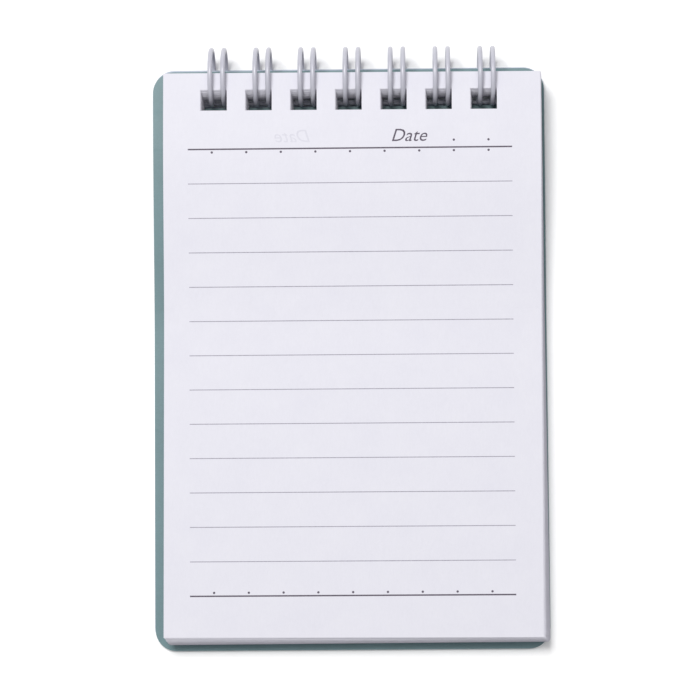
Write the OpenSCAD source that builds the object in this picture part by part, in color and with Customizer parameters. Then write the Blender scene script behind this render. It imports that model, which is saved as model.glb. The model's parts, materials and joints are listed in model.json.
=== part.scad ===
// Pocket notebook, wire bound along its short top edge and opened at a ruled page.
// The front cover is folded right round behind the back cover.
// X runs across the page, Y runs up the page to the binding, Z is up, in millimetres.
// The origin is the centre of the overall outline, on the surface it lies on.

/* [Paper] */
// Width of a sheet
sheet_w = 71; // [58:0.5:90]
// Length of a sheet
sheet_l = 106; // [85:0.5:140]
// Thickness of one sheet
sheet_t = 0.1; // [0.08:0.01:0.14]
// Air left between two sheets
sheet_gap = 0.035; // [0.03:0.001:0.05]
// Paper between the holes and the top edge of a sheet
sheet_margin = 3.2; // [2.8:0.1:3.8]
// How far the hole row sits left of a sheet's middle
punch_offset = 0.6; // [0:0.1:1]

/* [Covers] */
// How much wider a cover is than a sheet
cover_extra_w = 3.5; // [1:0.5:8]
// How much longer a cover is than a sheet
cover_extra_l = 4; // [1:0.5:8]
// Thickness of a cover
cover_t = 0.3; // [0.25:0.01:0.4]
// Plastic between the holes and the top edge of a cover
cover_margin = 3.1; // [3:0.1:3.8]
// Radius of a cover's corners
cover_corner = 4; // [2:0.5:8]
// How far the hole row sits right of a cover's middle
cover_punch_offset = 0.22; // [0:0.02:1]

/* [Punched holes] */
// Width of a hole
hole_w = 5; // [4.6:0.1:5.6]
// Height of a hole
hole_h = 3.9; // [3.6:0.1:4.6]
// Distance from one hole to the next, three to the inch
hole_pitch = 8.467; // [8:0.001:9]
// How many holes and wire loops there are
hole_count = 7; // [5:1:9]

/* [Wire] */
// Diameter of the coated wire
wire_d = 0.9; // [0.7:0.05:1.1]
// Inside diameter of the closed loops
ring_id = 9.5; // [9:0.1:12.7]
// Distance between the two wires of a loop
loop_w = 2.4; // [2:0.1:2.8]
// Radius of the bend from the spine into a loop
bend_r = 0.8; // [0.6:0.05:1]
// Length of the cut end past the last loop
stub_l = 1.2; // [0.5:0.1:2]
// Gap between a loop's closed end and the spine's bends
seam_clear = 0.12; // [0.08:0.01:0.3]

/* [How it lies] */
// Clearance between wire and punched edge
hole_clear = 0.08; // [0.06:0.01:0.15]
// Gap left beside the wire by the layers that lie furthest to one side
side_clear = 0.25; // [0.1:0.05:0.4]
// Clearance between the layers in the binding
layer_clear = 0.05; // [0.04:0.01:0.08]
// Room left in the ring above the top sheet
ring_free = 1; // [1:0.1:2]
// Flat length of the layers beyond their holes, before they sink to the table
flat_l = 1.35; // [1:0.05:4]
// Length over which they sink
sink_l = 40; // [25:1:60]
// Turn of the lowest sheet against the top one, in degrees
sheet_skew = 0.6; // [0:0.05:0.7]
// Sideways shift of the lowest sheet, as a share of the free play in its holes
sheet_fan = 0.25; // [0:0.01:1]
// How far the sheets are pushed up from where they would hang, as a share of the way to the top one
sheet_rise = 0.2; // [0:0.05:0.5]
// Turn of the back cover, in degrees
back_skew = 0.3; // [0:0.01:0.6]
// How far the front cover's top edge stands past the ring's axis
front_top = 2.1; // [2:0.05:2.3]
// How much lower the back cover's top edge lies than the front cover's
back_drop = 0.35; // [0:0.05:0.5]
// Turn of the front cover, in degrees
front_skew = 0.2; // [0:0.01:0.25]
// Sideways place of the front cover's hole row
front_x = -0.55; // [-0.6:0.05:0.6]

/* [Hidden] */
LEAF_NODES = ["leaf_01", "leaf_02", "leaf_03", "leaf_04", "leaf_05",
    "leaf_06", "leaf_07", "leaf_08", "leaf_09", "leaf_10"];
STACK_NODES = ["sheet_stack_1", "sheet_stack_2", "sheet_stack_3", "sheet_stack_4", "sheet_stack_5",
    "sheet_stack_6", "sheet_stack_7", "sheet_stack_8"];
$fn = 48;

cover_w = sheet_w + cover_extra_w;
cover_l = sheet_l + cover_extra_l;
sheet_pitch = sheet_t + sheet_gap;
wire_r = wire_d / 2;
ring_in = ring_id / 2;
ring_r = ring_in + wire_r;
ring_out = ring_in + wire_d;
row_half = (hole_count - 1) * hole_pitch / 2 + hole_w / 2;
play = (hole_w - loop_w - wire_d) / 2 - side_clear;
sink_from = ring_in + hole_h + flat_l;
table = -ring_out;

// Half the width that is free inside the ring at height z, and what a turned hole row takes of it.
function chord(z) = sqrt(ring_in * ring_in - z * z);
function turned(skew) = row_half * sin(abs(skew));

// Places in the binding, from the ring's axis. The front cover lies as low as the ring lets
// its top margin pass. The back cover lies inside the cylinder round that axis that the front
// cover sweeps as it turns, up to the higher end of its skewed top edge. Then come the wire's
// spine and the sheets.
front_y = front_top - cover_margin;
front_z = -chord(front_top + hole_clear + turned(front_skew));
back_y = front_y - back_drop;
back_edge = back_y + cover_margin
    + (cover_w / 2 - cover_punch_offset - cover_corner) * sin(back_skew);
back_z = -sqrt(pow(front_z + cover_t + layer_clear, 2) - pow(back_edge, 2));
spine_z = back_z + cover_t + layer_clear + wire_r;
stack_z = spine_z + wire_r + layer_clear;

// The ring holds as many sheets as its room takes. The top ones are nodes of their own, and
// the rest are shared out evenly over the stacks.
sheet_count = floor((ring_in - ring_free - stack_z) / sheet_pitch);
leaf_count = len(LEAF_NODES);
function stack_start(n) = leaf_count + floor(n * (sheet_count - leaf_count) / len(STACK_NODES));

// How far each layer sinks between the binding and the table.
front_sink = front_z - table;
back_sink = back_z - (table + cover_t + layer_clear);
stack_sink = stack_z - (table + 2 * cover_t + layer_clear + sheet_gap);

// The wire's seam, as angles round the ring from +Y over +Z. The spine runs between the
// lowest sheet and the back cover; each loop leaves it upwards, goes right round over the top
// and closes just below it, inside the holes of the covers.
bend_x = loop_w / 2 + bend_r;
seam = sqrt(pow(bend_x + wire_d + seam_clear, 2) - bend_x * bend_x) - bend_r;
spine_angle = 180 - asin(spine_z / norm([ring_r, bend_r]));
arm_from = spine_angle - atan(bend_r / ring_r);
arm_to = spine_angle + asin(seam / ring_r);

// Height of a sheet's lower face, counting sheets down from 0 at the top.
function sheet_z(k) = stack_z + (sheet_count - 1 - k) * sheet_pitch;
function depth(k) = k / (sheet_count - 1);
function uneven(k) = 0.5 + 0.5 * sin(137.5 * k);
function skew_of(k) = sheet_skew * pow(depth(k), 0.7);
function sheet_x(k) = -play + 2 * play * sheet_fan * sqrt(depth(k)) + 0.09 * uneven(k) * min(1, k / 3);
function highest(z, t) = max(abs(z), abs(z + t));

// Where the upper edges of a sheet's holes rest against the inside of the wire, and where they lie.
function hang_y(k) = hole_clear + turned(skew_of(k)) - chord(highest(sheet_z(k), sheet_t));
function sheet_y(k) = hang_y(k) + sheet_rise * (hang_y(0) - hang_y(k))
    + 0.08 * uneven(k + 0.5) * min(1, k / 3);

// The outline of the back cover is the largest, and the loops stand out past its top edge.
function cover_middle(x, y, skew) = [
    x - cover_punch_offset * cos(skew) - (cover_margin - cover_l / 2) * sin(skew),
    y - cover_punch_offset * sin(skew) + (cover_margin - cover_l / 2) * cos(skew)];
function cover_half_l(skew) = cover_corner + (cover_l / 2 - cover_corner) * cos(skew)
    + (cover_w / 2 - cover_corner) * sin(skew);
middle = cover_middle(-play, back_y, back_skew);
origin = [middle[0], (ring_out + middle[1] - cover_half_l(back_skew)) / 2, table];

// A smooth fall from 0 to 1, in steps along the sheet.
SINK_STEPS = 14;
function eased(u) = u * u * (3 - 2 * u);
function fall(first, sink) = [for (i = [0 : SINK_STEPS])
    [-sink_from - sink_l * i / SINK_STEPS - first, -sink * eased(i / SINK_STEPS)]];

module placed() {
    translate([-origin[0], -origin[1], -origin[2]]) children();
}

// One layer in its own frame: the upper edges of the holes lie along Y = 0.
module layer(w, margin, l, t, middle_x, ring_y, sink) {
    line = concat([[margin, 0]], fall(ring_y, sink), [[margin - l, -sink]]);
    back = [for (i = [len(line) - 1 : -1 : 0]) [line[i][0], line[i][1] + t]];
    translate([middle_x - w / 2, 0, 0]) rotate([90, 0, 90])
        linear_extrude(w) polygon(concat(line, back));
}

module hole_row(z, t) {
    for (i = [0 : hole_count - 1])
        translate([(i - (hole_count - 1) / 2) * hole_pitch - hole_w / 2, -hole_h, z - 1])
            cube([hole_w, hole_h, t + 2]);
}

module sheet(k) {
    z = sheet_z(k);
    y = sheet_y(k);
    translate([sheet_x(k), y, 0]) rotate([0, 0, skew_of(k)])
        difference() {
            translate([0, 0, z])
                layer(sheet_w, sheet_margin, sheet_l, sheet_t, punch_offset, y, stack_sink);
            hole_row(z, sheet_t);
        }
}

module leaf(k) {
    color([0.91, 0.91, 0.95]) placed() sheet(k);
}

module sheet_stack(n) {
    color([0.80, 0.80, 0.86]) placed()
        for (k = [stack_start(n) : stack_start(n + 1) - 1]) sheet(k);
}

module rounded_outline(w, l, r) {
    translate([r, 0]) square([w - 2 * r, l]);
    translate([0, r]) square([w, l - 2 * r]);
    for (x = [r, w - r], y = [r, l - r]) translate([x, y]) circle(r);
}

module cover(x, y, z, skew, sink) {
    translate([x, y, 0]) rotate([0, 0, skew]) difference() {
        intersection() {
            translate([0, 0, z])
                layer(cover_w, cover_margin, cover_l, cover_t, -cover_punch_offset, y, sink);
            translate([-cover_punch_offset - cover_w / 2, cover_margin - cover_l, table - 1])
                linear_extrude(ring_out) rounded_outline(cover_w, cover_l, cover_corner);
        }
        hole_row(z, cover_t);
    }
}

module back_cover() {
    color([0.46, 0.60, 0.63]) placed() cover(-play, back_y, back_z, back_skew, back_sink);
}

module front_cover() {
    color([0.80, 0.83, 0.89]) placed() cover(front_x, front_y, front_z, front_skew, front_sink);
}

// The wire is one tube along a route of stations, each [place, heading, outward].
// A station is given by its angle round the ring, its place across (x) and ahead (y) of
// that point in the ring's tangent plane, and its heading in the same plane. Ahead is the way
// in which the angle falls.
function station(angle, x, y, heading) = [
    [x, ring_r * cos(angle) + y * sin(angle), ring_r * sin(angle) - y * cos(angle)],
    [heading[0], heading[1] * sin(angle), -heading[1] * cos(angle)],
    [0, cos(angle), sin(angle)]];

ARM_STEPS = 24;
TIP_STEPS = 6;
BEND_STEPS = 3;
WIRE_SIDES = 8;
arm_turn = 360 + arm_from - arm_to;

// From the spine round the left bend, up and round the left arm, across the closed end
// and back by the right arm and the right bend.
function loop_route(x) = concat(
    [for (i = [0 : BEND_STEPS]) let (a = 90 * i / BEND_STEPS - 90)
        station(arm_from, x - loop_w / 2 - bend_r + bend_r * cos(a), bend_r * sin(a), [-sin(a), cos(a)])],
    [for (i = [1 : ARM_STEPS])
        station(arm_from - arm_turn * i / ARM_STEPS, x - loop_w / 2, 0, [0, 1])],
    [for (i = [1 : TIP_STEPS]) let (a = 180 - 180 * i / TIP_STEPS)
        station(arm_to, x + loop_w / 2 * cos(a), loop_w / 2 * sin(a), [sin(a), -cos(a)])],
    [for (i = [ARM_STEPS - 1 : -1 : 0])
        station(arm_from - arm_turn * i / ARM_STEPS, x + loop_w / 2, 0, [0, -1])],
    [for (i = [1 : BEND_STEPS]) let (a = 180 + 90 * i / BEND_STEPS)
        station(arm_from, x + loop_w / 2 + bend_r + bend_r * cos(a), bend_r * sin(a), [-sin(a), cos(a)])]);

module tube(route, r, sides) {
    points = [for (s = route, j = [0 : sides - 1]) let (a = 360 * j / sides)
        s[0] + r * (cos(a) * s[2] + sin(a) * cross(s[1], s[2]))];
    last = len(route) - 1;
    walls = [for (i = [0 : last - 1], j = [0 : sides - 1])
        let (p = i * sides + j, q = i * sides + (j + 1) % sides)
        each [[p, p + sides, q + sides], [p, q + sides, q]]];
    ends = [[for (j = [0 : sides - 1]) j], [for (j = [sides - 1 : -1 : 0]) last * sides + j]];
    polyhedron(points, concat(walls, ends));
}

module wire_binding() {
    first = -(hole_count - 1) / 2 * hole_pitch;
    end = bend_x + stub_l - first;
    route = concat([station(arm_from, -end, -bend_r, [1, 0])],
        [for (i = [0 : hole_count - 1]) each loop_route(first + i * hole_pitch)],
        [station(arm_from, end, -bend_r, [1, 0])]);
    color([0.72, 0.72, 0.77]) placed() tube(route, wire_r, WIRE_SIDES);
}

wire_binding();
back_cover();
front_cover();
for (k = [0 : leaf_count - 1])
    leaf(k);
for (n = [0 : len(STACK_NODES) - 1])
    sheet_stack(n);
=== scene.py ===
# Looks for the pocket notebook: wire, paper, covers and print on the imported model, in metres.
import json
import math

import bmesh
import bpy
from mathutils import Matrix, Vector


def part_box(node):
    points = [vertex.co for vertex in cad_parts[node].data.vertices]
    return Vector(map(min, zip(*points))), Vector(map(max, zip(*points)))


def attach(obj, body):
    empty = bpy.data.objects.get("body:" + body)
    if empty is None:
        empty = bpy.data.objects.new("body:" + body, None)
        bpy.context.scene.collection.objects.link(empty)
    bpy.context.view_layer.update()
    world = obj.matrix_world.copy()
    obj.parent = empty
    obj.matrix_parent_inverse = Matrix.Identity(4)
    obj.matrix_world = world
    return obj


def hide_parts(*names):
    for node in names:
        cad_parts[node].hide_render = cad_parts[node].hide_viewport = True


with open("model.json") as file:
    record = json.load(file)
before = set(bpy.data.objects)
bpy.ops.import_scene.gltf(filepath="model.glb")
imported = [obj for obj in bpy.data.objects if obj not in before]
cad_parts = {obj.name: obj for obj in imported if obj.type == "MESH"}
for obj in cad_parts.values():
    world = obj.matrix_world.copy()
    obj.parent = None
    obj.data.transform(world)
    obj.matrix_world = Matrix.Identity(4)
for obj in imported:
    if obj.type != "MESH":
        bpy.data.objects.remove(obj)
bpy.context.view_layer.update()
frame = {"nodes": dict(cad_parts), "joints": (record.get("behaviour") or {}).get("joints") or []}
nodes = frame["nodes"]
scene = bpy.context.scene
mm = 0.001
print("frame loaded:", len(nodes), "nodes")

# The loops' axis: the hinges turn about it, and the wire lies evenly to both sides of its middle.
hinge = next(j for j in frame["joints"] if j["name"] == "leaf_01_turn")["pos_m"]
wireLow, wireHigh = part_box("wire_binding")
ringAxis = Vector(((wireLow.x + wireHigh.x) / 2, hinge[1], hinge[2]))


# sRGB hex to the linear values that a shader takes
def linearColour(hexColour):
    channels = [int(hexColour[i:i + 2], 16) / 255 for i in (1, 3, 5)]
    return [c / 12.92 if c <= 0.04045 else ((c + 0.055) / 1.055) ** 2.4 for c in channels] + [1.0]


# a pattern's scale from the real size of its features
def perMm(size):
    return 1 / (size * mm)


# a new material's name and its empty node tree
def emptyMaterial(name):
    material = bpy.data.materials.new(name)
    material.use_nodes = True
    material.node_tree.nodes.clear()
    return material, material.node_tree


# adds one node: its settings, the values of its inputs, and the links into them
def addNode(tree, kind, values=None, links=None, **settings):
    node = tree.nodes.new(kind)
    for name, value in settings.items():
        setattr(node, name, value)
    for socket, value in (values or {}).items():
        node.inputs[socket].default_value = value
    for socket, (source, output) in (links or {}).items():
        tree.links.new(source.outputs[output], node.inputs[socket])
    return node


# where a face turns from flat to edge, as the upright part of its normal
edgeTest = {"From Min": 0.75, "From Max": 0.35}


# 0 on the flat faces of a sheet and 1 on its cut edges, in the sheet's own frame; it places the
# painted shade on the paper's edges and the painted highlight on the covers' edges
def paintedEdgeShare(tree, place):
    side = addNode(tree, "ShaderNodeSeparateXYZ", None, {"Vector": (place, "Normal")})
    flatness = addNode(tree, "ShaderNodeMath", None, {0: (side, "Z")}, operation="ABSOLUTE")
    return addNode(tree, "ShaderNodeMapRange", edgeTest, {"Value": (flatness, "Value")})


# ---- paper ----
paperLook = {
    "face": "#dad9e2",
    "cloud": "#d4d3de",
    # painted shade: the sheets' cut edges are drawn darker than the faces, for the shade on the
    # pad's sides
    "paintedEdgeTone": "#9b99a8",
    "cloudSize": 6.0,   # mm, how unevenly the pulp lies
    "fibreSize": 0.45,  # mm, fibres are nearer 0.03 mm thick and drawn coarser so that they show
    "toothSize": 0.25,  # mm, the tooth of the surface, also drawn coarse
    "roughness": 0.82,
}


# Uncoated offset paper, calendered: a dull cool white, faintly cloudy, with fibres just in sight,
# and greyer cut edges: painted shade on the pad's sides, where the sheets above shade them.
def makeUncoatedPaper(look):
    material, tree = emptyMaterial("uncoated_offset_paper")
    place = addNode(tree, "ShaderNodeTexCoord")
    cloud = addNode(tree, "ShaderNodeTexNoise",
                    {"Scale": perMm(look["cloudSize"]), "Detail": 3.0, "Roughness": 0.55},
                    {"Vector": (place, "Object")})
    along = addNode(tree, "ShaderNodeMapping",
                    {"Scale": (1.0, 0.35, 1.0), "Rotation": (0.0, 0.0, 0.5)},
                    {"Vector": (place, "Object")})
    fibre = addNode(tree, "ShaderNodeTexNoise",
                    {"Scale": perMm(look["fibreSize"]), "Detail": 4.0, "Distortion": 1.2},
                    {"Vector": (along, "Vector")})
    cloudy = addNode(tree, "ShaderNodeMix",
                     {6: linearColour(look["face"]), 7: linearColour(look["cloud"])},
                     {0: (cloud, "Fac")}, data_type="RGBA")
    fibreTone = addNode(tree, "ShaderNodeMapRange",
                        {"From Min": 0.3, "From Max": 0.75, "To Min": 1.012, "To Max": 0.985},
                        {"Value": (fibre, "Fac")})
    toned = addNode(tree, "ShaderNodeVectorMath", None,
                    {0: (cloudy, 2), "Scale": (fibreTone, "Result")}, operation="SCALE")
    # painted shade: the cut edges get a darker colour than the faces
    edge = paintedEdgeShare(tree, place)
    colour = addNode(tree, "ShaderNodeMix", {7: linearColour(look["paintedEdgeTone"])},
                     {0: (edge, "Result"), 6: (toned, "Vector")}, data_type="RGBA")
    tooth = addNode(tree, "ShaderNodeTexNoise", {"Scale": perMm(look["toothSize"]), "Detail": 3.0},
                    {"Vector": (place, "Object")})
    relief = addNode(tree, "ShaderNodeBump", {"Strength": 0.12, "Distance": 0.02 * mm},
                     {"Height": (tooth, "Fac")})
    dullness = addNode(tree, "ShaderNodeMapRange",
                       {"To Min": look["roughness"] - 0.06, "To Max": look["roughness"] + 0.06},
                       {"Value": (fibre, "Fac")})
    shader = addNode(tree, "ShaderNodeBsdfPrincipled",
                     {"IOR": 1.5, "Specular IOR Level": 0.25, "Sheen Weight": 0.05,
                      "Sheen Roughness": 0.6},
                     {"Base Color": (colour, 2), "Roughness": (dullness, "Result"),
                      "Normal": (relief, "Normal")})
    addNode(tree, "ShaderNodeOutputMaterial", None, {"Surface": (shader, "BSDF")})
    return material


# ---- covers ----
tealLook = {
    "body": "#5b777c",
    "light": "#67848a",
    # painted highlight: the cut edges are drawn paler than the sheet, as if light caught them
    "paintedEdgeTone": "#7f9a9f",
    "grainSize": 0.3,   # mm, the roller's grain is about 0.1 mm and drawn coarser so that it shows
    "patchSize": 14.0,  # mm, slow changes of tone in the extruded sheet
    "scuffSize": 2.5,   # mm, faint rubbed marks
    "roughness": 0.48,
    "grainHeight": 0.03,
    "inside": 0.0,
}
frostedLook = {
    "body": "#98a2b4",
    "light": "#a7b0c0",
    # painted highlight: the cut edges are drawn paler than the sheet, as if light caught them
    "paintedEdgeTone": "#bcc4d2",
    "grainSize": 0.25,
    "patchSize": 18.0,
    "scuffSize": 3.0,
    "roughness": 0.42,
    "grainHeight": 0.02,
    "inside": 0.25,     # how much light goes about inside the milky sheet
}


# Extruded polypropylene sheet with a rolled matte grain: an even colour with a soft, slightly
# waxy shine, a fine grain, faint rubbed marks, and paler cut edges: a painted highlight along them.
def makeGrainedPolypropylene(name, look):
    material, tree = emptyMaterial(name)
    place = addNode(tree, "ShaderNodeTexCoord")
    patch = addNode(tree, "ShaderNodeTexNoise", {"Scale": perMm(look["patchSize"]), "Detail": 2.0},
                    {"Vector": (place, "Object")})
    grain = addNode(tree, "ShaderNodeTexVoronoi", {"Scale": perMm(look["grainSize"])},
                    {"Vector": (place, "Object")}, feature="SMOOTH_F1")
    rubbing = addNode(tree, "ShaderNodeMapping",
                      {"Scale": (0.25, 1.6, 1.0), "Rotation": (0.0, 0.0, 0.35)},
                      {"Vector": (place, "Object")})
    scuff = addNode(tree, "ShaderNodeTexNoise",
                    {"Scale": perMm(look["scuffSize"]), "Detail": 6.0, "Roughness": 0.7},
                    {"Vector": (rubbing, "Vector")})
    rubbed = addNode(tree, "ShaderNodeMapRange", {"From Min": 0.55, "From Max": 0.8},
                     {"Value": (scuff, "Fac")})
    base = addNode(tree, "ShaderNodeMix",
                   {6: linearColour(look["body"]), 7: linearColour(look["light"])},
                   {0: (patch, "Fac")}, data_type="RGBA")
    grainTone = addNode(tree, "ShaderNodeMapRange",
                        {"From Max": 0.8, "To Min": 0.96, "To Max": 1.05},
                        {"Value": (grain, "Distance")})
    toned = addNode(tree, "ShaderNodeVectorMath", None,
                    {0: (base, 2), "Scale": (grainTone, "Result")}, operation="SCALE")
    # painted highlight: the cut edges get a paler colour than the faces
    edge = paintedEdgeShare(tree, place)
    colour = addNode(tree, "ShaderNodeMix", {7: linearColour(look["paintedEdgeTone"])},
                     {0: (edge, "Result"), 6: (toned, "Vector")}, data_type="RGBA")
    shine = addNode(tree, "ShaderNodeMapRange",
                    {"To Min": look["roughness"], "To Max": look["roughness"] + 0.14},
                    {"Value": (rubbed, "Result")})
    relief = addNode(tree, "ShaderNodeBump",
                     {"Strength": 0.35, "Distance": look["grainHeight"] * mm},
                     {"Height": (grain, "Distance")})
    shader = addNode(tree, "ShaderNodeBsdfPrincipled",
                     {"IOR": 1.49, "Subsurface Weight": look["inside"],
                      "Subsurface Scale": 0.3 * mm, "Subsurface Radius": (1.0, 1.1, 1.3)},
                     {"Base Color": (colour, 2), "Roughness": (shine, "Result"),
                      "Normal": (relief, "Normal")})
    addNode(tree, "ShaderNodeOutputMaterial", None, {"Surface": (shader, "BSDF")})
    return material


# ---- wire ----
coatLook = {
    "body": "#b0b0bd",
    "pale": "#bebec9",
    "mottleSize": 1.6,  # mm, slow changes along the dipped coat
    "peelSize": 0.3,    # mm, orange peel of the powder as it flowed
    "roughness": 0.3,
}
steelLook = {"body": "#a3a2a0", "dark": "#7d7b78", "shearSize": 0.12, "roughness": 0.38}


# Nylon 11 coat fused onto steel wire: a smooth light grey plastic skin, satin, with a
# slight orange peel that softens its highlights.
def makeNylonCoat(look):
    material, tree = emptyMaterial("fused_nylon_wire_coat")
    place = addNode(tree, "ShaderNodeTexCoord")
    mottle = addNode(tree, "ShaderNodeTexNoise",
                     {"Scale": perMm(look["mottleSize"]), "Detail": 3.0},
                     {"Vector": (place, "Object")})
    peel = addNode(tree, "ShaderNodeTexNoise", {"Scale": perMm(look["peelSize"]), "Detail": 1.5},
                   {"Vector": (place, "Object")})
    colour = addNode(tree, "ShaderNodeMix",
                     {6: linearColour(look["body"]), 7: linearColour(look["pale"])},
                     {0: (mottle, "Fac")}, data_type="RGBA")
    shine = addNode(tree, "ShaderNodeMapRange",
                    {"To Min": look["roughness"] - 0.05, "To Max": look["roughness"] + 0.1},
                    {"Value": (mottle, "Fac")})
    relief = addNode(tree, "ShaderNodeBump", {"Strength": 0.2, "Distance": 0.02 * mm},
                     {"Height": (peel, "Fac")})
    shader = addNode(tree, "ShaderNodeBsdfPrincipled",
                     {"IOR": 1.53, "Coat Weight": 0.15, "Coat Roughness": 0.2},
                     {"Base Color": (colour, 2), "Roughness": (shine, "Result"),
                      "Normal": (relief, "Normal")})
    addNode(tree, "ShaderNodeOutputMaterial", None, {"Surface": (shader, "BSDF")})
    return material


# Low carbon steel, sheared: a bright cut face with short drag lines, seen at the wire's ends.
def makeShearedSteel(look):
    material, tree = emptyMaterial("sheared_steel_core")
    place = addNode(tree, "ShaderNodeTexCoord")
    dragged = addNode(tree, "ShaderNodeMapping", {"Scale": (1.0, 5.0, 0.6)},
                      {"Vector": (place, "Object")})
    drag = addNode(tree, "ShaderNodeTexNoise", {"Scale": perMm(look["shearSize"]), "Detail": 3.0},
                   {"Vector": (dragged, "Vector")})
    colour = addNode(tree, "ShaderNodeMix",
                     {6: linearColour(look["dark"]), 7: linearColour(look["body"])},
                     {0: (drag, "Fac")}, data_type="RGBA")
    shine = addNode(tree, "ShaderNodeMapRange",
                    {"To Min": look["roughness"] - 0.08, "To Max": look["roughness"] + 0.12},
                    {"Value": (drag, "Fac")})
    relief = addNode(tree, "ShaderNodeBump", {"Strength": 0.4, "Distance": 0.02 * mm},
                     {"Height": (drag, "Fac")})
    shader = addNode(tree, "ShaderNodeBsdfPrincipled", {"Metallic": 1.0},
                     {"Base Color": (colour, 2), "Roughness": (shine, "Result"),
                      "Normal": (relief, "Normal")})
    addNode(tree, "ShaderNodeOutputMaterial", None, {"Surface": (shader, "BSDF")})
    return material


# ---- print ----
inkLook = {
    "dark": {"film": "#4c4552", "thin": "#6a6371"},
    "light": {"film": "#8f8c9a", "thin": "#a9a6b3"},
    "ghost": {"film": "#cac9d4", "thin": "#d0cfda"},
    "mottleSize": 0.35,  # mm, the film breaks up over the paper's fibres, drawn coarser to show
}


# Offset printing ink soaked into uncoated paper: a dull, slightly uneven film whose tone
# thins out over the fibres.
def makeOffsetInk(name, film, thin):
    material, tree = emptyMaterial(name)
    place = addNode(tree, "ShaderNodeTexCoord")
    breakUp = addNode(tree, "ShaderNodeTexNoise",
                      {"Scale": perMm(inkLook["mottleSize"]), "Detail": 4.0, "Roughness": 0.65},
                      {"Vector": (place, "Object")})
    cover = addNode(tree, "ShaderNodeMapRange", {"From Min": 0.35, "From Max": 0.7},
                    {"Value": (breakUp, "Fac")})
    colour = addNode(tree, "ShaderNodeMix", {6: linearColour(film), 7: linearColour(thin)},
                     {0: (cover, "Result")}, data_type="RGBA")
    dullness = addNode(tree, "ShaderNodeMapRange", {"To Min": 0.6, "To Max": 0.8},
                       {"Value": (cover, "Result")})
    shader = addNode(tree, "ShaderNodeBsdfPrincipled", {"IOR": 1.5, "Specular IOR Level": 0.3},
                     {"Base Color": (colour, 2), "Roughness": (dullness, "Result")})
    addNode(tree, "ShaderNodeOutputMaterial", None, {"Surface": (shader, "BSDF")})
    return material


uncoatedPaper = makeUncoatedPaper(paperLook)
tealSheet = makeGrainedPolypropylene("extruded_polypropylene_teal", tealLook)
frostedSheet = makeGrainedPolypropylene("extruded_polypropylene_frosted", frostedLook)
nylonCoat = makeNylonCoat(coatLook)
shearedSteel = makeShearedSteel(steelLook)
inkTones = ("dark", "light", "ghost")
inks = [makeOffsetInk("offset_ink_" + tone, inkLook[tone]["film"], inkLook[tone]["thin"])
        for tone in inkTones]


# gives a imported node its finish
def finishNode(name, material):
    mesh = nodes[name].data
    mesh.materials.clear()
    mesh.materials.append(material)


sheetNodes = sorted(n for n in nodes if n.startswith("leaf_"))
sheetNodes += sorted(n for n in nodes if n.startswith("sheet_stack_"))
for name in sheetNodes:
    finishNode(name, uncoatedPaper)
finishNode("back_cover", tealSheet)
finishNode("front_cover", frostedSheet)
print("paper and covers finished:", len(sheetNodes), "sheet nodes")


# links a new mesh to the scene, with smooth or flat faces
def newPiece(name, bm, materials, smooth):
    mesh = bpy.data.meshes.new(name)
    bmesh.ops.recalc_face_normals(bm, faces=bm.faces)
    bm.to_mesh(mesh)
    bm.free()
    for material in materials:
        mesh.materials.append(material)
    for face in mesh.polygons:
        face.use_smooth = smooth
    piece = bpy.data.objects.new(name, mesh)
    scene.collection.objects.link(piece)
    return piece


# ---- the wire binding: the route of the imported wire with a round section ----
wireShape = {
    "diameter": 0.9, "ring": 10.4,  # mm, the ring is measured along the wire's middle
    "pitch": 8.467, "loops": 7, "loopWidth": 2.4, "bend": 0.8, "stub": 1.2,
    "armFrom": 199.611, "armTo": 224.696,  # degrees round the ring, from +Y over +Z
    "sides": 20, "armSteps": 72, "tipSteps": 16, "bendSteps": 8,
    "bevel": 0.06, "dish": 0.03,  # mm, the cut ends are slightly rounded and hollowed
    "coreShare": 0.78, "dishShare": 0.39,  # of the radius: steel inside the coat, and its hollow
}


# a point of the route, its heading and its outward direction, at an angle round the ring;
# ahead is the way in which the angle falls
def wireStation(angle, x, ahead, across, forward):
    radius = wireShape["ring"] / 2
    a = math.radians(angle)
    place = Vector((x, radius * math.cos(a) + ahead * math.sin(a),
                    radius * math.sin(a) - ahead * math.cos(a)))
    heading = Vector((across, forward * math.sin(a), -forward * math.cos(a)))
    return place, heading, Vector((0, math.cos(a), math.sin(a)))


# one loop: left bend, round the left arm, across the closed end and back by the right arm
def loopStations(x):
    w = wireShape
    half, bend = w["loopWidth"] / 2, w["bend"]
    start, end, turn = w["armFrom"], w["armTo"], 360 + w["armFrom"] - w["armTo"]
    stations = []
    for i in range(w["bendSteps"] + 1):
        a = math.radians(90 * i / w["bendSteps"] - 90)
        stations.append(wireStation(start, x - half - bend + bend * math.cos(a),
                                    bend * math.sin(a), -math.sin(a), math.cos(a)))
    for i in range(1, w["armSteps"] + 1):
        stations.append(wireStation(start - turn * i / w["armSteps"], x - half, 0, 0, 1))
    for i in range(1, w["tipSteps"] + 1):
        a = math.radians(180 - 180 * i / w["tipSteps"])
        stations.append(wireStation(end, x + half * math.cos(a), half * math.sin(a),
                                    math.sin(a), -math.cos(a)))
    for i in range(w["armSteps"] - 1, -1, -1):
        stations.append(wireStation(start - turn * i / w["armSteps"], x + half, 0, 0, -1))
    for i in range(1, w["bendSteps"] + 1):
        a = math.radians(180 + 90 * i / w["bendSteps"])
        stations.append(wireStation(start, x + half + bend + bend * math.cos(a),
                                    bend * math.sin(a), -math.sin(a), math.cos(a)))
    return stations


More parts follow.
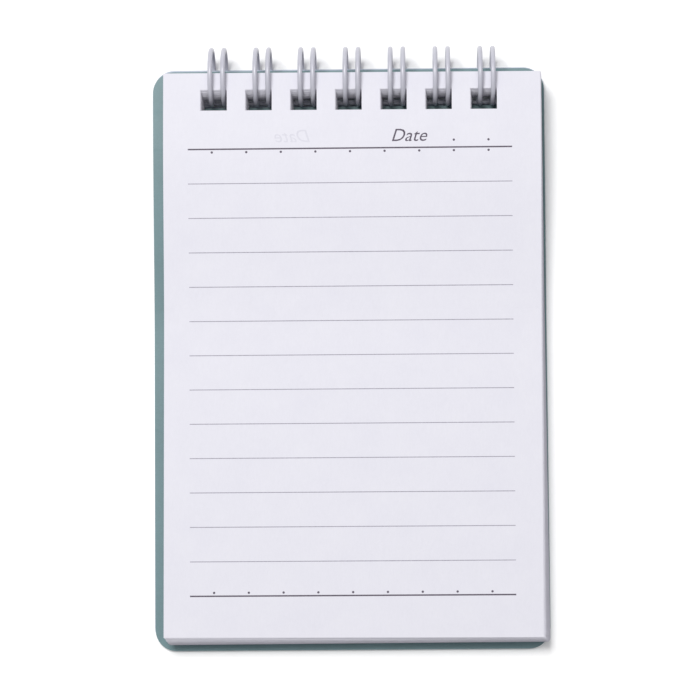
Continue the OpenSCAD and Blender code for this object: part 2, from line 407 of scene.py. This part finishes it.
def makeWire():
    w = wireShape
    first = -(w["loops"] - 1) / 2 * w["pitch"]
    endX = w["loopWidth"] / 2 + w["bend"] + w["stub"] - first
    bevel = w["bevel"]
    route = [wireStation(w["armFrom"], -endX + bevel, -w["bend"], 1, 0)]
    for i in range(w["loops"]):
        route += loopStations(first + i * w["pitch"])
    route.append(wireStation(w["armFrom"], endX - bevel, -w["bend"], 1, 0))
    bm = bmesh.new()
    radius = w["diameter"] / 2

    # a ring of vertices round the route at one station
    def ring(place, heading, out, r):
        side = heading.cross(out)
        verts = []
        for j in range(w["sides"]):
            a = 2 * math.pi * j / w["sides"]
            point = place + r * (math.cos(a) * out + math.sin(a) * side)
            verts.append(bm.verts.new(ringAxis + point * mm))
        return verts

    # faces between two rings
    def bridge(a, b, slot=0):
        for j in range(len(a)):
            k = (j + 1) % len(a)
            bm.faces.new((a[j], b[j], b[k], a[k])).material_index = slot

    rings = [ring(*s, radius) for s in route]
    for a, b in zip(rings, rings[1:]):
        bridge(a, b)
    for (place, heading, out), outer, sign in ((route[0], rings[0], -1), (route[-1], rings[-1], 1)):
        face = place + Vector((sign * bevel, 0, 0))
        lip = ring(face, heading, out, radius - bevel)
        core = ring(face, heading, out, radius * w["coreShare"])
        dish = ring(face - Vector((sign * w["dish"], 0, 0)), heading, out, radius * w["dishShare"])
        bridge(outer, lip)
        bridge(lip, core)
        bridge(core, dish, 1)
        bm.faces.new(dish).material_index = 1
    piece = newPiece("twin_loop_wire", bm, [nylonCoat, shearedSteel], True)
    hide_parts("wire_binding")
    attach(piece, "binding")
    print("wire made:", len(piece.data.vertices), "vertices")


makeWire()


# ---- the print, on the outer faces of every sheet that turns by itself ----
sheetShape = {
    "count": 42, "thickness": 0.1, "pitch": 0.135, "lowest": -1.99892,  # mm, from the ring's axis
    "sinkFrom": 10.0, "sinkLength": 40.0, "sinkDepth": 2.96608, "sinkSteps": 14,
    "play": 0.6, "fan": 0.25, "rise": 0.2, "skew": 0.6, "holeClear": 0.08, "ringInside": 9.5,
    "rowHalf": 27.901, "middle": 0.6,  # the sheet's middle, right of its hole row
    "looseX": 0.09, "looseY": 0.08, "looseFrom": 3,  # mm of uneven lie, full from this sheet on
    "stackOf": 4,
}
# mm; heights are from the ring's axis, places across are from the sheet's middle
printShape = {
    "left": -30.7, "right": 30.25,
    "turn": 0.2, "turnAbout": -56,  # degrees, and the place on the page that it turns about
    "header": -14.13, "footer": -97.93, "firstRule": -20.6, "ruleStep": 6.446, "rules": 12,
    "boldWidth": 0.28, "fineWidth": 0.16,
    "firstDot": -26.19, "dotStep": 6.503, "dots": 9, "dotSize": 0.46, "dotSides": 10,
    "dateFieldDots": 2,  # the last dots, which the date field has too
    "headerDots": -14.72, "footerDots": -97.31, "dateDots": -12.75,
    "word": "Date", "wordLeft": 7.7, "wordBase": -12.95, "wordHeight": 2.35, "wordLean": 0.32,
    "film": 0.006, "sunk": 0.003,  # the ink stands on the paper and reaches a little into it
}


# where sheet k of the pad lies, counting down from 0 at the top: shift across, place of its
# hole edges, height of its lower face and turn
def sheetPlace(k):
    s = sheetShape
    depth = k / (s["count"] - 1)
    loose = min(1, k / s["looseFrom"])

    def uneven(n):
        return 0.5 + 0.5 * math.sin(math.radians(137.5 * n))

    def lowFace(n):
        return s["lowest"] + (s["count"] - 1 - n) * s["pitch"]

    def skewOf(n):
        return math.radians(s["skew"] * (n / (s["count"] - 1)) ** 0.7)

    # where the upper edges of a sheet's holes would rest on the wire
    def hang(n):
        high = max(abs(lowFace(n)), abs(lowFace(n) + s["thickness"]))
        return (s["holeClear"] + s["rowHalf"] * math.sin(skewOf(n))
                - math.sqrt((s["ringInside"] / 2) ** 2 - high ** 2))

    x = (-s["play"] + 2 * s["play"] * s["fan"] * math.sqrt(depth)
         + s["looseX"] * uneven(k) * loose)
    y = hang(k) + s["rise"] * (hang(0) - hang(k)) + s["looseY"] * uneven(k + 0.5) * loose
    return x, y, lowFace(k), skewOf(k)


# how far a sheet has sunk at a distance below the ring's axis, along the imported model's facets
def sunkBy(y):
    s = sheetShape
    u = min(1.0, max(0.0, (-s["sinkFrom"] - y) / s["sinkLength"])) * s["sinkSteps"]
    step = min(int(u), s["sinkSteps"] - 1)

    def eased(t):
        return t * t * (3 - 2 * t)

    a, b = eased(step / s["sinkSteps"]), eased((step + 1) / s["sinkSteps"])
    return s["sinkDepth"] * (a + (b - a) * (u - step))


# flat outlines of the print as (tone, points, faces), in mm on the sheet
def printedShapes():
    p = printShape
    shapes = []

    def line(tone, y, width, parts=10):
        points, faces = [], []
        for i in range(parts + 1):
            x = p["left"] + (p["right"] - p["left"]) * i / parts
            points += [(x, y - width / 2), (x, y + width / 2)]
        for i in range(parts):
            faces.append((2 * i, 2 * i + 2, 2 * i + 3, 2 * i + 1))
        shapes.append((tone, points, faces))

    def dot(x, y):
        sides = p["dotSides"]
        ring = [(x + p["dotSize"] / 2 * math.cos(a), y + p["dotSize"] / 2 * math.sin(a))
                for a in (math.radians(360 * j / sides) for j in range(sides))]
        shapes.append(("dark", ring, [tuple(range(sides))]))

    line("dark", p["header"], p["boldWidth"])
    line("dark", p["footer"], p["boldWidth"])
    for i in range(p["rules"]):
        line("light", p["firstRule"] - i * p["ruleStep"], p["fineWidth"])
    for i in range(p["dots"]):
        x = p["firstDot"] + i * p["dotStep"]
        dot(x, p["headerDots"])
        dot(x, p["footerDots"])
        if i >= p["dots"] - p["dateFieldDots"]:
            dot(x, p["dateDots"])
    shapes.append(("dark", *wordOutline()))
    return shapes


# the word in Blender's own plain typeface, leaned over, as a flat mesh
def wordOutline():
    p = printShape
    curve = bpy.data.curves.new("word", "FONT")
    curve.body = p["word"]
    curve.size = 1.0
    curve.shear = p["wordLean"]
    curve.resolution_u = 3
    text = bpy.data.objects.new("word", curve)
    scene.collection.objects.link(text)
    bpy.context.view_layer.update()
    mesh = text.evaluated_get(bpy.context.evaluated_depsgraph_get()).to_mesh()
    points = [(v.co.x, v.co.y) for v in mesh.vertices]
    faces = [tuple(f.vertices) for f in mesh.polygons]
    bpy.data.objects.remove(text)
    bpy.data.curves.remove(curve)
    low, high = min(q[1] for q in points), max(q[1] for q in points)
    left = min(q[0] for q in points)
    grow = p["wordHeight"] / (high - low)
    return [(p["wordLeft"] + (x - left) * grow, p["wordBase"] + (y - low) * grow)
            for x, y in points], faces


# raises the flat shapes into thin closed films on one face of sheet k
def addFilm(bm, shapes, k, up):
    p = printShape
    x0, y0, low, skew = sheetPlace(k)
    topEdges = sheetPlace(0)[1]  # the print is set out on the top sheet
    z = low + (sheetShape["thickness"] if up else 0)
    sign = 1 if up else -1
    lean = math.radians(p["turn"]) * sign
    pivot = p["turnAbout"]
    for tone, points, faces in shapes:
        slot = inkTones.index(tone)
        levels = []
        for lift in (-p["sunk"], p["film"]):
            row = []
            for px, py in points:
                px *= sign  # the back is printed the same way round as the front
                # print turned a little on the sheet, then the sheet turned in the pad
                qx = px * math.cos(lean) - (py - pivot) * math.sin(lean) + sheetShape["middle"]
                qy = px * math.sin(lean) + (py - pivot) * math.cos(lean) + pivot - topEdges
                wx = x0 + qx * math.cos(skew) - qy * math.sin(skew)
                wy = y0 + qx * math.sin(skew) + qy * math.cos(skew)
                # a sheet's fall is set out in its own frame, before it is turned
                wz = z - sunkBy(qy + y0) + sign * lift
                row.append(bm.verts.new(ringAxis + Vector((wx, wy, wz)) * mm))
            levels.append(row)
        under, over = levels
        edges = {}
        for face in faces:
            bm.faces.new([over[i] for i in face]).material_index = slot
            bm.faces.new([under[i] for i in reversed(face)]).material_index = slot
            for a, b in zip(face, face[1:] + face[:1]):
                edges[(a, b)] = True
        for a, b in edges:
            if (b, a) not in edges:
                bm.faces.new((over[b], over[a], under[a], under[b])).material_index = slot


def makePrint():
    shapes = printedShapes()
    p = printShape
    # the word on the back of the first leaf shows through it, very faintly
    wordPoints, wordFaces = shapes[-1][1:]
    ghost = ("ghost", [(-x, y) for x, y in wordPoints], [tuple(reversed(f)) for f in wordFaces])
    leaves = sum(n.startswith("leaf_") for n in sheetNodes)
    for i, name in enumerate(sheetNodes):
        top = i if i < leaves else leaves + (i - leaves) * sheetShape["stackOf"]
        bottom = top if i < leaves else top + sheetShape["stackOf"] - 1
        bm = bmesh.new()
        addFilm(bm, shapes + ([ghost] if i == 0 else []), top, True)
        addFilm(bm, shapes, bottom, False)
        piece = newPiece("print_" + name, bm, inks, False)
        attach(piece, name)
    print("print made on", len(sheetNodes), "sheet bodies,", p["rules"], "rules a page")


makePrint()


# ---- floor, light and camera ----
floorLook = {
    "size": 6.0, "drop": 0.05 * mm,  # metres, the floor lies just clear of the cover
    "tone": "#fbfbfc", "shade": "#f9f9fb", "patchSize": 60.0,
}


# Matte painted board: an even, very pale floor.
def makePaintedBoard(look):
    material, tree = emptyMaterial("matte_painted_board")
    place = addNode(tree, "ShaderNodeTexCoord")
    patch = addNode(tree, "ShaderNodeTexNoise", {"Scale": perMm(look["patchSize"])},
                    {"Vector": (place, "Object")})
    colour = addNode(tree, "ShaderNodeMix",
                     {6: linearColour(look["tone"]), 7: linearColour(look["shade"])},
                     {0: (patch, "Fac")}, data_type="RGBA")
    shader = addNode(tree, "ShaderNodeBsdfPrincipled",
                     {"Roughness": 0.9, "Specular IOR Level": 0.1}, {"Base Color": (colour, 2)})
    addNode(tree, "ShaderNodeOutputMaterial", None, {"Surface": (shader, "BSDF")})
    return material


def makeFloor(look):
    half = look["size"] / 2
    bm = bmesh.new()
    corners = [bm.verts.new((x, y, -look["drop"]))
               for x, y in ((-half, -half), (half, -half), (half, half), (-half, half))]
    bm.faces.new(corners)
    floor = newPiece("floor", bm, [makePaintedBoard(look)], False)


makeFloor(floorLook)

studio = {
    "sky": "#fffffd", "skyStrength": 0.42,
    "keyPlace": (-0.17, 0.29, 0.81), "keySize": 0.30, "keyPower": 5.9, "keyTone": "#fffffd",
    "fillPlace": (0.12, 0.04, 0.87), "fillSize": 0.4, "fillPower": 0.8, "fillTone": "#fdfdff",
}


# a soft square lamp pointed at the notebook
def makeLamp(name, place, size, power, tone):
    lamp = bpy.data.lights.new(name, "AREA")
    lamp.size = size
    lamp.energy = power
    lamp.color = linearColour(tone)[:3]
    holder = bpy.data.objects.new(name, lamp)
    holder.location = place
    holder.rotation_euler = (-Vector(place)).to_track_quat("-Z", "Y").to_euler()
    scene.collection.objects.link(holder)


makeLamp("key_softbox", studio["keyPlace"], studio["keySize"], studio["keyPower"],
         studio["keyTone"])
makeLamp("fill_softbox", studio["fillPlace"], studio["fillSize"], studio["fillPower"],
         studio["fillTone"])
world = bpy.data.worlds.new("studio")
scene.world = world
world.use_nodes = True
world.node_tree.nodes["Background"].inputs["Color"].default_value = linearColour(studio["sky"])
world.node_tree.nodes["Background"].inputs["Strength"].default_value = studio["skyStrength"]
scene.view_settings.view_transform = "Standard"

cameraView = {
    "place": (13.20, -36.80, 526.55),  # mm
    "turn": (3.977, 1.459, -0.162),    # degrees
    "lens": 142.75,
}
camera = bpy.data.objects.new("camera", bpy.data.cameras.new("camera"))
camera.location = Vector(cameraView["place"]) * mm
camera.rotation_euler = [math.radians(a) for a in cameraView["turn"]]
camera.data.lens = cameraView["lens"]
camera.data.clip_start = 0.01
scene.collection.objects.link(camera)
scene.camera = camera
print("floor, light and camera set")
